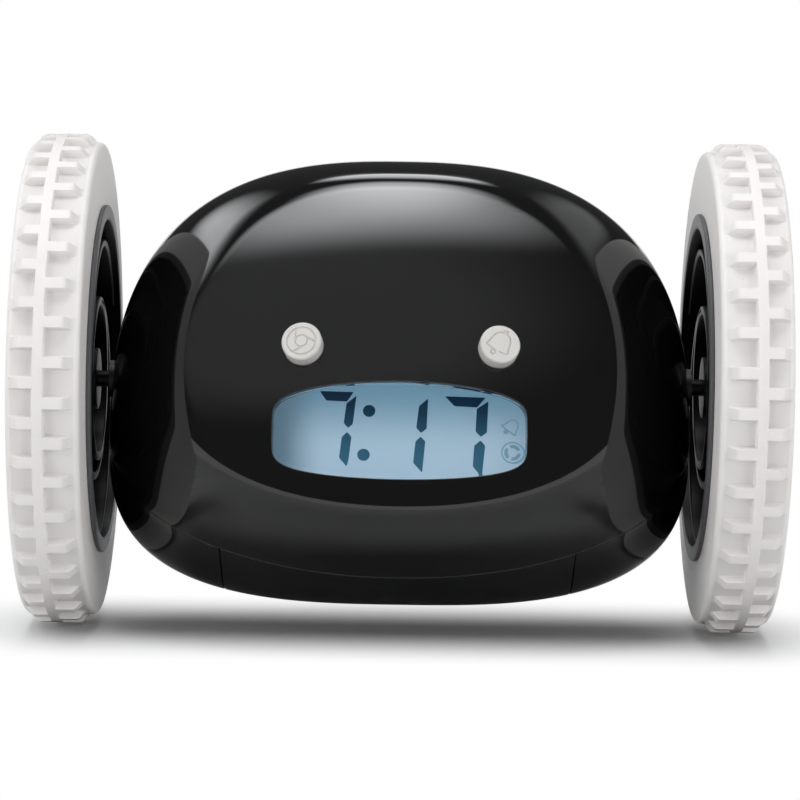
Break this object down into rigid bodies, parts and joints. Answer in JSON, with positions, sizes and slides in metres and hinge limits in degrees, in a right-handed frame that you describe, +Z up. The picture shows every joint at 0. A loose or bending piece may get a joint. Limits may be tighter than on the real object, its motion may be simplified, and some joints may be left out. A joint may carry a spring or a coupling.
{
  "type": "runaway alarm clock",
  "caption": "Rounded gloss-black alarm clock body slung between two ribbed white wheels, with a domed face, a digital display and two round buttons.",
  "frame": {"origin": "on the floor midway between the wheels, straight under the axle", "axes": "+X along the axle towards the alarm button's side, -Y the way the face looks, +Z up"},
  "size_m": [0.134, 0.089, 0.089],
  "materials": {
    "tyre": "satin white soft vinyl",
    "rim": "polished black",
    "cap": "polished black",
    "shell": "high-gloss black",
    "steel": "bright steel",
    "screw": "blackened",
    "brass_part": "plain brass",
    "gear": "natural acetal",
    "can": "zinc plated",
    "pale_plastic": "natural moulding",
    "window": "clear acrylic",
    "lcd": "blue-lit liquid crystal panel",
    "board": "green solder resist",
    "chip": "black moulding",
    "button": "satin off-white",
    "set_button": "satin black",
    "speaker": "plated steel",
    "cone": "black paper",
    "chassis": "black moulding",
    "cell": "plain wrapped cell",
    "contact": "nickel plated",
    "wire": "red insulation"
  },
  "bodies": {
    "clock": {"shaft_bush_right": "brass_part", "shaft_bush_left": "brass_part", "motor_can_right": "can", "motor_can_left": "can", "motor_cap_right": "pale_plastic", "motor_cap_left": "pale_plastic", "gear_case_right": "pale_plastic", "gear_case_left": "pale_plastic", "gear_lid_right": "pale_plastic", "gear_lid_left": "pale_plastic", "gear_pins": "steel", "gear_screws": "steel", "front_shell": "shell", "rear_shell": "shell", "shell_screws": "screw", "display_window": "window", "display_glass": "lcd", "backlight": "pale_plastic", "display_frame": "pale_plastic", "main_board": "board", "board_chips": "chip", "board_screws": "steel", "face_switches": "chip", "rear_board": "board", "rear_switches": "chip", "speaker_frame": "speaker", "speaker_cone": "cone", "chassis": "chassis", "cell_1": "cell", "cell_2": "cell", "cell_3": "cell", "cell_4": "cell", "cell_springs": "contact", "cell_plates": "contact", "lead_wires": "wire"},
    "wheel_right": {"tyre_right": "tyre", "rim_right": "rim", "hub_cap_right": "cap", "wheel_shaft_right": "steel", "output_gear_right": "gear"},
    "second_gear_right": {"second_gear_right": "gear"},
    "first_gear_right": {"first_gear_right": "gear"},
    "rotor_right": {"motor_pinion_right": "brass_part", "motor_shaft_right": "steel"},
    "wheel_left": {"tyre_left": "tyre", "rim_left": "rim", "hub_cap_left": "cap", "wheel_shaft_left": "steel", "output_gear_left": "gear"},
    "second_gear_left": {"second_gear_left": "gear"},
    "first_gear_left": {"first_gear_left": "gear"},
    "rotor_left": {"motor_pinion_left": "brass_part", "motor_shaft_left": "steel"},
    "wheel_button": {"wheel_button": "button"},
    "alarm_button": {"alarm_button": "button"},
    "set_button_left": {"set_button_left": "set_button"},
    "set_button_middle": {"set_button_middle": "set_button"},
    "set_button_right": {"set_button_right": "set_button"},
    "battery_door": {"battery_door": "shell"}
  },
  "joints": [
    {"name": "wheel_right_spin", "type": "hinge", "parent": "clock", "child": "wheel_right", "pos_m": [0, 0, 0.0445], "axis": [1, 0, 0], "continuous": true},
    {"name": "second_gear_right_spin", "type": "hinge", "parent": "clock", "child": "second_gear_right", "pos_m": [0, -0.00324, 0.05657], "axis": [1, 0, 0], "continuous": true},
    {"name": "first_gear_right_spin", "type": "hinge", "parent": "clock", "child": "first_gear_right", "pos_m": [0, 0.00752, 0.05886], "axis": [1, 0, 0], "continuous": true},
    {"name": "rotor_right_spin", "type": "hinge", "parent": "clock", "child": "rotor_right", "pos_m": [0, 0.01412, 0.04944], "axis": [1, 0, 0], "continuous": true},
    {"name": "wheel_left_spin", "type": "hinge", "parent": "clock", "child": "wheel_left", "pos_m": [0, 0, 0.0445], "axis": [1, 0, 0], "continuous": true},
    {"name": "second_gear_left_spin", "type": "hinge", "parent": "clock", "child": "second_gear_left", "pos_m": [0, -0.00324, 0.05657], "axis": [1, 0, 0], "continuous": true},
    {"name": "first_gear_left_spin", "type": "hinge", "parent": "clock", "child": "first_gear_left", "pos_m": [0, 0.00752, 0.05886], "axis": [1, 0, 0], "continuous": true},
    {"name": "rotor_left_spin", "type": "hinge", "parent": "clock", "child": "rotor_left", "pos_m": [0, 0.01412, 0.04944], "axis": [1, 0, 0], "continuous": true},
    {"name": "wheel_button_press", "type": "slide", "parent": "clock", "child": "wheel_button", "axis": [0.1335, 0.8855, -0.445], "range_m": [0, 0.0006], "stiffness_N_per_m": 400},
    {"name": "alarm_button_press", "type": "slide", "parent": "clock", "child": "alarm_button", "axis": [-0.1335, 0.8855, -0.445], "range_m": [0, 0.0006], "stiffness_N_per_m": 400},
    {"name": "set_button_left_press", "type": "slide", "parent": "clock", "child": "set_button_left", "axis": [0, -1, 0], "range_m": [0, 0.0006], "stiffness_N_per_m": 400},
    {"name": "set_button_middle_press", "type": "slide", "parent": "clock", "child": "set_button_middle", "axis": [0, -1, 0], "range_m": [0, 0.0006], "stiffness_N_per_m": 400},
    {"name": "set_button_right_press", "type": "slide", "parent": "clock", "child": "set_button_right", "axis": [0, -1, 0], "range_m": [0, 0.0006], "stiffness_N_per_m": 400},
    {"name": "battery_door_off", "type": "slide", "parent": "clock", "child": "battery_door", "axis": [0, 0, -1], "range_m": [0, 0.03]}
  ],
  "couplings": [
    {"joint": "second_gear_right_spin", "follows": "wheel_right_spin", "ratio": -4},
    {"joint": "first_gear_right_spin", "follows": "wheel_right_spin", "ratio": 13.6},
    {"joint": "rotor_right_spin", "follows": "wheel_right_spin", "ratio": -48.96},
    {"joint": "second_gear_left_spin", "follows": "wheel_left_spin", "ratio": -4},
    {"joint": "first_gear_left_spin", "follows": "wheel_left_spin", "ratio": 13.6},
    {"joint": "rotor_left_spin", "follows": "wheel_left_spin", "ratio": -48.96}
  ]
}
